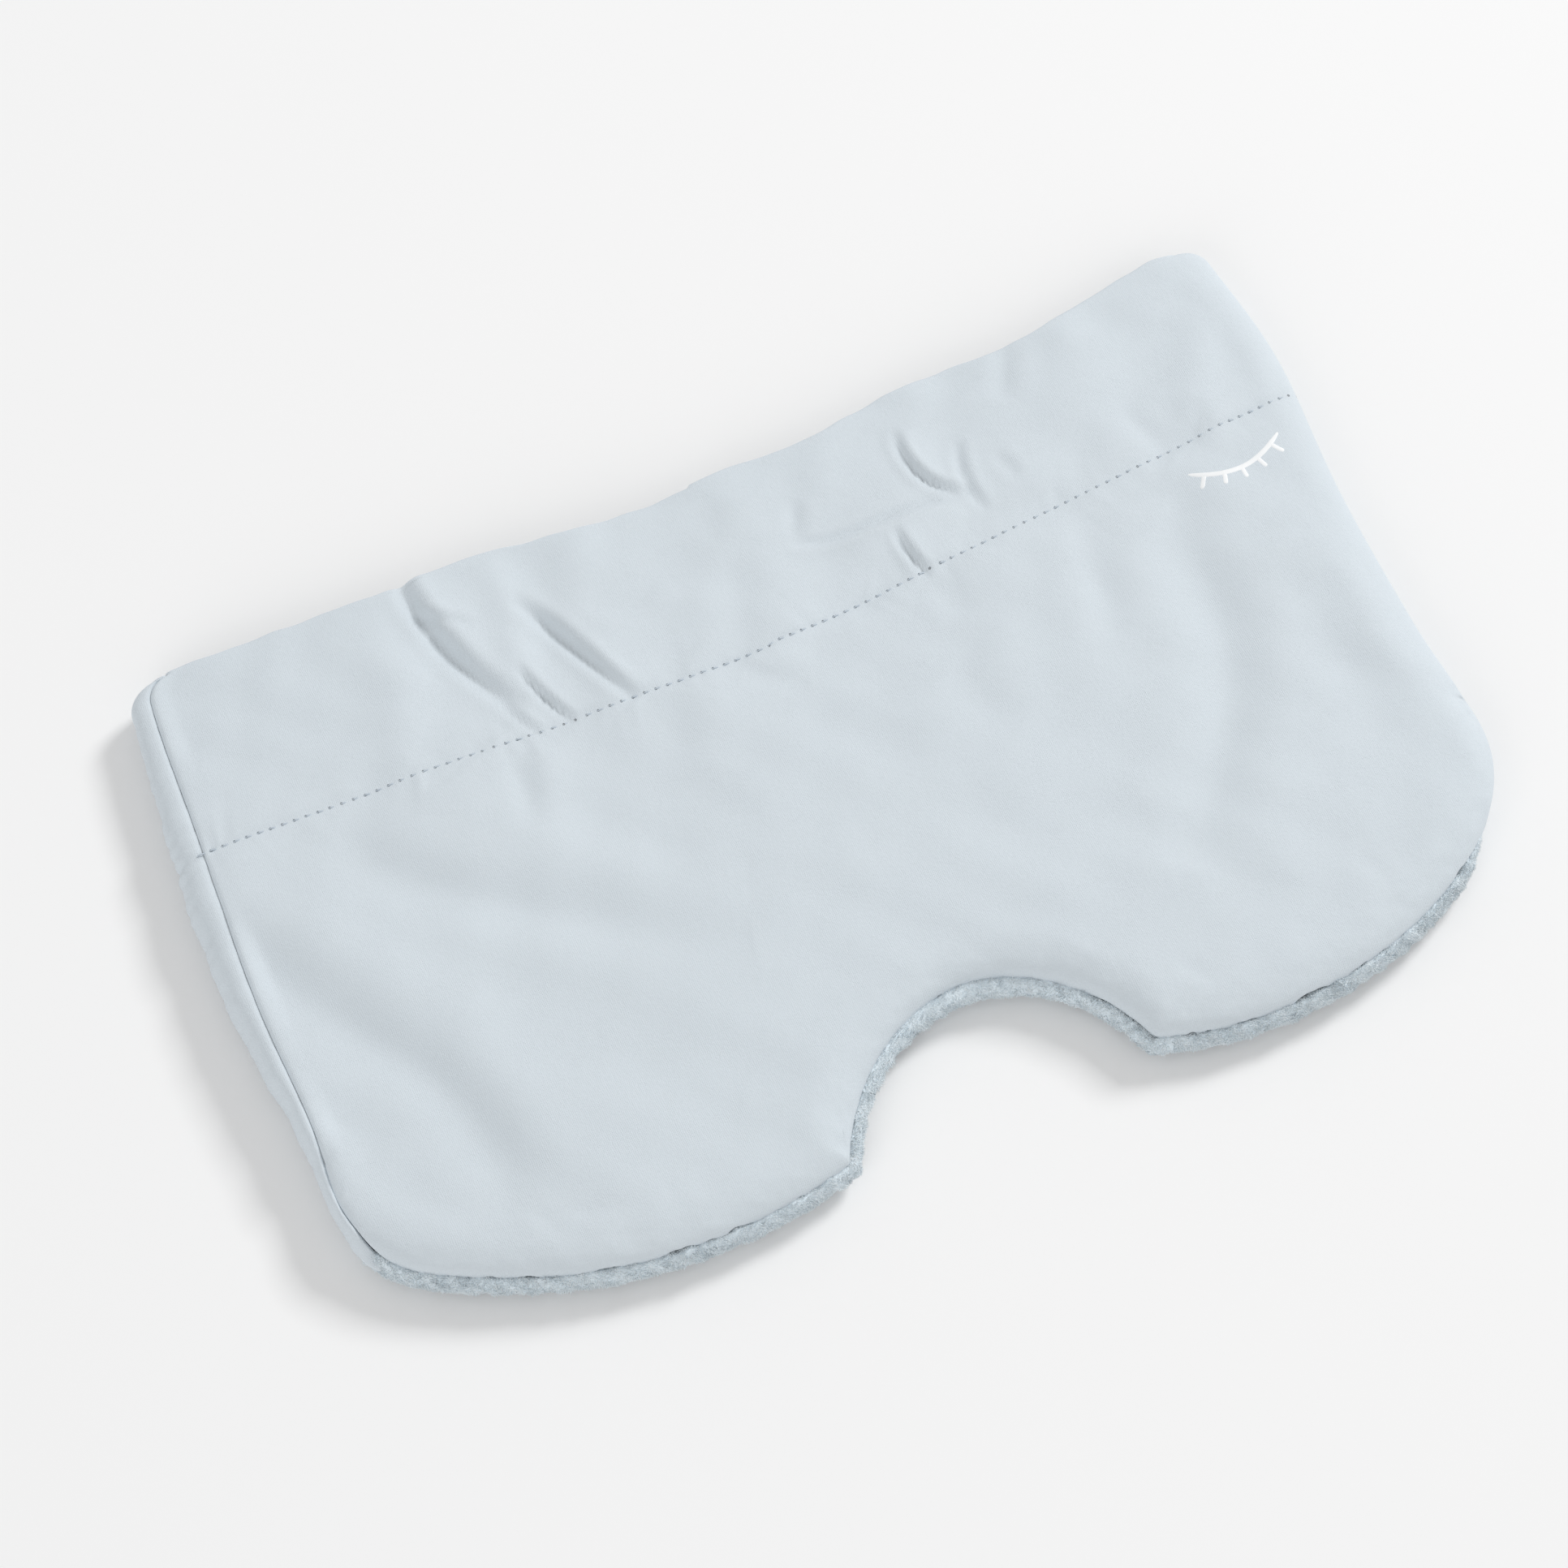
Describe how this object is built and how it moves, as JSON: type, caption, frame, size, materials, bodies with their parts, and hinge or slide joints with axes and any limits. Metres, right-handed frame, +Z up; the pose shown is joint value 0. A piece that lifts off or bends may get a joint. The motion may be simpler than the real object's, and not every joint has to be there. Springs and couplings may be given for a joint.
{
  "type": "eye pillow",
  "caption": "Flat weighted eye pillow with a nose arch: a soft cover, smooth in front and plush behind, with an open mouth and a slide-in insert.",
  "frame": {"origin": "under the middle of the outline's box, on the flat back that the pillow rests on", "axes": "+X across the eyes to the side with the print, +Y from the nose arch to the open mouth, +Z up through the smooth front"},
  "size_m": [0.25, 0.16, 0.014],
  "materials": {
    "smooth_cloth": "satin",
    "plush_cloth": "matte",
    "strip_cloth": "satin",
    "thread": "satin",
    "print": "matte",
    "insert_cloth": "matte",
    "insert_thread": "satin",
    "seed_fill": "matte"
  },
  "bodies": {
    "cover": {"front_panel": "smooth_cloth", "back_panel": "plush_cloth", "left_gusset": "strip_cloth", "right_gusset": "strip_cloth", "front_hem_stitching": "thread", "back_hem_stitching": "thread", "left_seam_stitching": "thread", "right_seam_stitching": "thread", "bottom_seam_stitching": "thread", "printed_motif": "print"},
    "insert": {"insert_front": "insert_cloth", "insert_back": "insert_cloth", "insert_seam_stitching": "insert_thread", "insert_channel_stitching": "insert_thread", "fill_left": "seed_fill", "fill_centre": "seed_fill", "fill_right": "seed_fill"}
  },
  "joints": [
    {"name": "insert_slide", "type": "slide", "parent": "cover", "child": "insert", "axis": [0, 1, 0], "range_m": [0, 0.165]}
  ]
}
